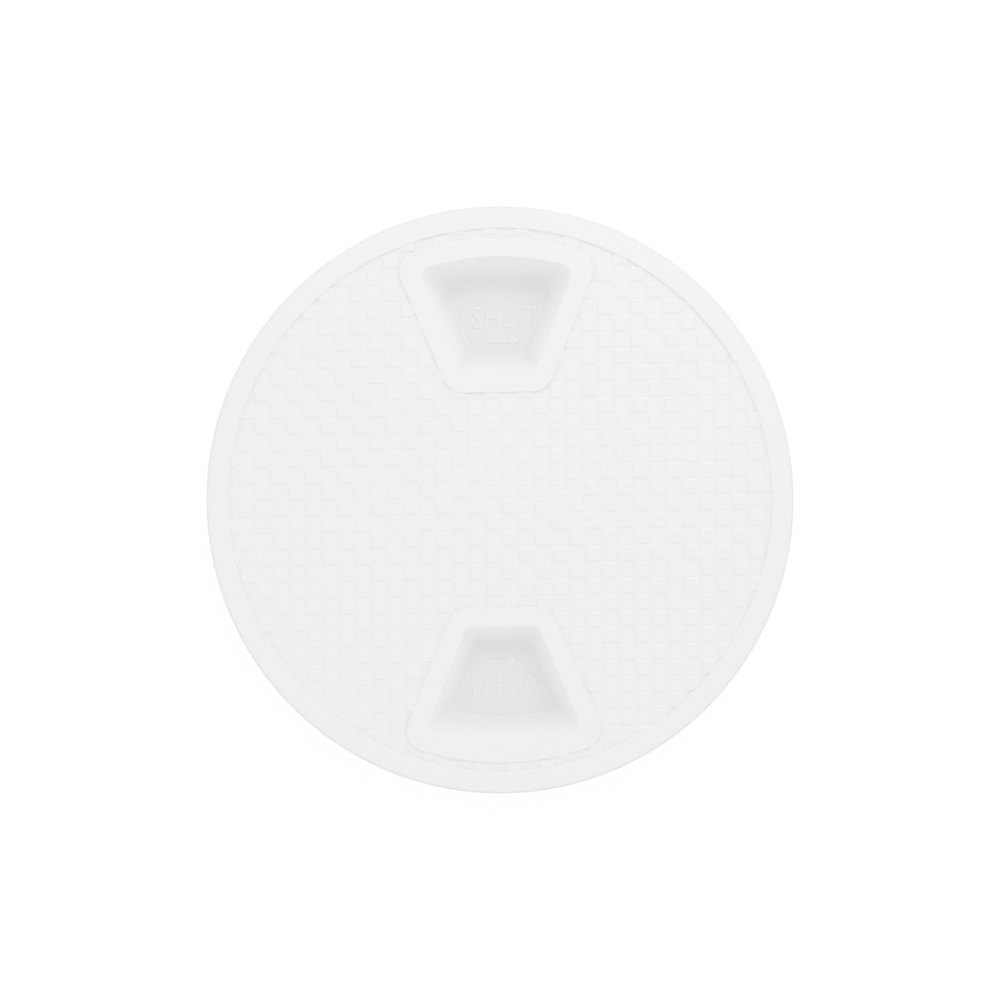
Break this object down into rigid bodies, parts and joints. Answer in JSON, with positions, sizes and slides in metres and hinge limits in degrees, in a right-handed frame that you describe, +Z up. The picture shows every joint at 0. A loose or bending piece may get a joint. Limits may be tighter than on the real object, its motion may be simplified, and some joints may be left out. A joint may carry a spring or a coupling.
{
  "type": "deck inspection plate",
  "caption": "Round screw-in deck inspection plate: white lid with a checkered tread and two finger pockets, in a threaded mounting ring with a rubber seal.",
  "frame": {"origin": "centre of the mounting ring's underside, where it meets the deck", "axes": "+Z up out of the deck along the screw axis, +Y through the pocket marked for shutting"},
  "size_m": [0.2462, 0.2462, 0.0253],
  "materials": {
    "ring_plastic": "satin moulded plastic, white",
    "seal_rubber": "matt black rubber",
    "lid_plastic": "satin moulded plastic, white"
  },
  "bodies": {
    "mounting_ring": {"mounting_ring": "ring_plastic"},
    "seal": {"seal_ring": "seal_rubber"},
    "lid": {"lid": "lid_plastic"}
  },
  "joints": [
    {"name": "lid_lift", "type": "slide", "parent": "mounting_ring", "child": "seal", "axis": [0, 0, 1], "range_m": [0, 0.01057]},
    {"name": "lid_turn", "type": "hinge", "parent": "seal", "child": "lid", "pos_m": [0, 0, 0], "axis": [0, 0, 1], "range_deg": [0, 380]}
  ],
  "couplings": [
    {"joint": "lid_lift", "follows": "lid_turn", "m_per_rad": 0.0015915}
  ]
}
